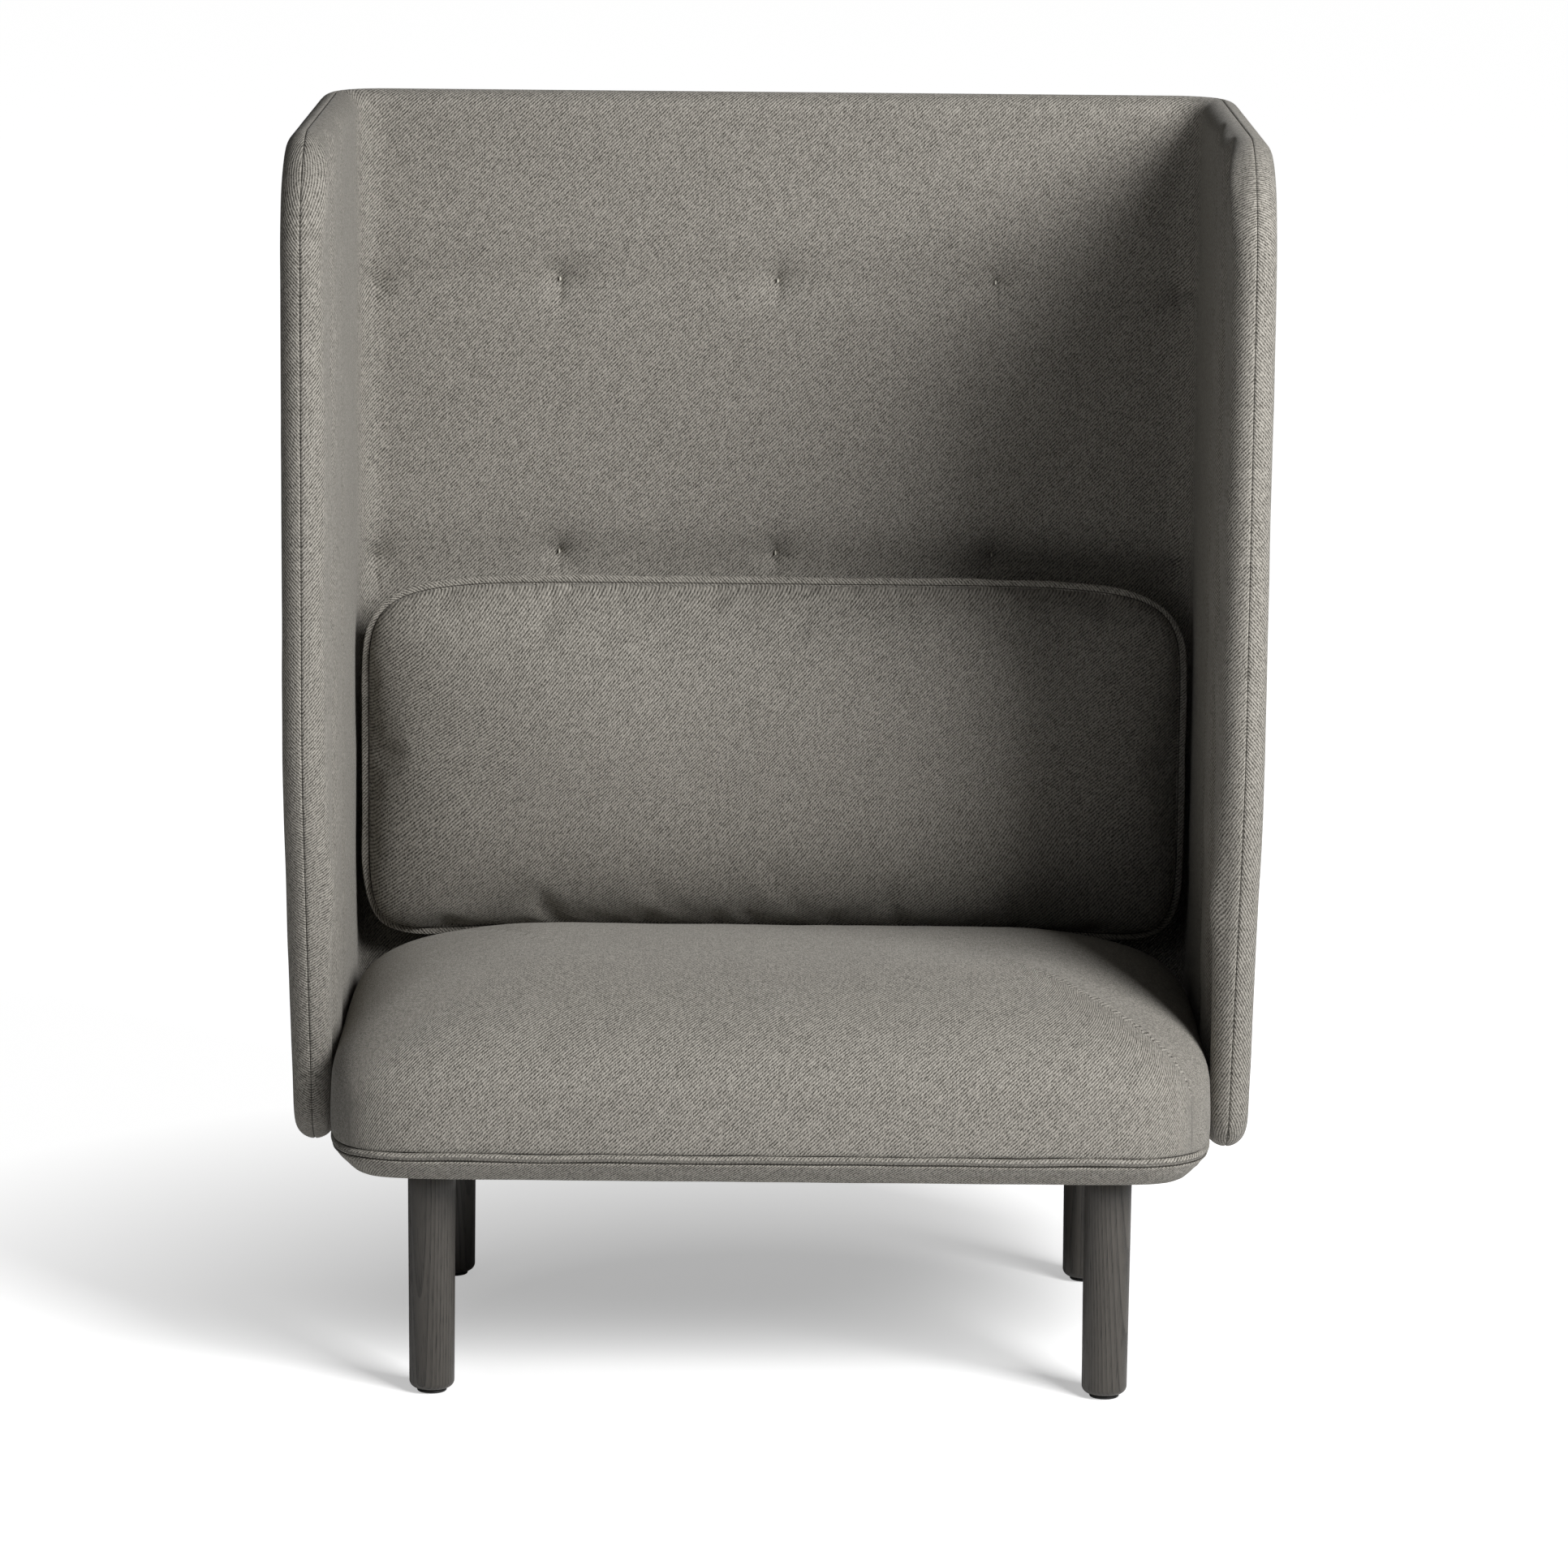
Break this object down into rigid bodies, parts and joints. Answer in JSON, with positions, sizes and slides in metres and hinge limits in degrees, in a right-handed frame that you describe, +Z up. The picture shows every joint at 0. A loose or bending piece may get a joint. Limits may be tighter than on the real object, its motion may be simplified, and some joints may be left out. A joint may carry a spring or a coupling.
{
  "type": "acoustic high back lounge chair",
  "caption": "High back lounge chair whose tufted back and side wings are one upholstered shell around a domed seat, with a loose lumbar cushion and turned wooden legs.",
  "frame": {"origin": "on the floor under the middle of the chair's outer box", "axes": "+Z up, the chair faces -Y, +X to the right of someone looking at its front"},
  "size_m": [1.06, 0.69, 1.39],
  "materials": {
    "upholstery": "warm grey melange twill wool blend",
    "foam": "upholstery foam and wadding",
    "plywood": "bent birch plywood",
    "frame_timber": "sawn beech",
    "stained_ash": "charcoal stained ash, open grain, satin lacquer",
    "webbing": "elastic seat webbing",
    "twine": "flat waxed tufting tape",
    "bottom_cloth": "black nonwoven cloth",
    "black_plastic": "black nylon",
    "zinc_steel": "zinc plated steel"
  },
  "bodies": {
    "chair": {"back_plywood": "plywood", "back_pad_inner": "foam", "back_pad_outer": "foam", "back_cover_inner": "upholstery", "back_cover_outer": "upholstery", "tuft_ties": "twine", "tuft_toggles": "black_plastic", "seat_ledger_left": "frame_timber", "seat_ledger_right": "frame_timber", "seat_ledger_rear": "frame_timber", "rail_front": "frame_timber", "rail_rear": "frame_timber", "rail_left": "frame_timber", "rail_right": "frame_timber", "rail_middle": "frame_timber", "corner_blocks": "frame_timber", "webbing_across": "webbing", "webbing_along": "webbing", "bottom_cloth": "bottom_cloth", "seat_pad": "foam", "seat_cover": "upholstery", "seat_welt": "upholstery", "seat_band": "upholstery", "leg_plates": "zinc_steel", "leg_bolts": "zinc_steel", "leg_front_left": "stained_ash", "leg_front_right": "stained_ash", "leg_rear_left": "stained_ash", "leg_rear_right": "stained_ash"},
    "lumbar_cushion": {"cushion_fill": "foam", "cushion_cover": "upholstery", "cushion_flange": "upholstery"},
    "glide_front_left": {"glide_foot_front_left": "black_plastic", "glide_stem_front_left": "zinc_steel"},
    "glide_front_right": {"glide_foot_front_right": "black_plastic", "glide_stem_front_right": "zinc_steel"},
    "glide_rear_left": {"glide_foot_rear_left": "black_plastic", "glide_stem_rear_left": "zinc_steel"},
    "glide_rear_right": {"glide_foot_rear_right": "black_plastic", "glide_stem_rear_right": "zinc_steel"}
  },
  "joints": [
    {"name": "cushion_lift_out", "type": "slide", "parent": "chair", "child": "lumbar_cushion", "axis": [0, -0.766, 0.6428], "range_m": [0, 0.95]},
    {"name": "level_front_left", "type": "slide", "parent": "chair", "child": "glide_front_left", "axis": [0, 0, -1], "range_m": [0, 0.01]},
    {"name": "level_front_right", "type": "slide", "parent": "chair", "child": "glide_front_right", "axis": [0, 0, -1], "range_m": [0, 0.01]},
    {"name": "level_rear_left", "type": "slide", "parent": "chair", "child": "glide_rear_left", "axis": [0, 0, -1], "range_m": [0, 0.01]},
    {"name": "level_rear_right", "type": "slide", "parent": "chair", "child": "glide_rear_right", "axis": [0, 0, -1], "range_m": [0, 0.01]}
  ]
}
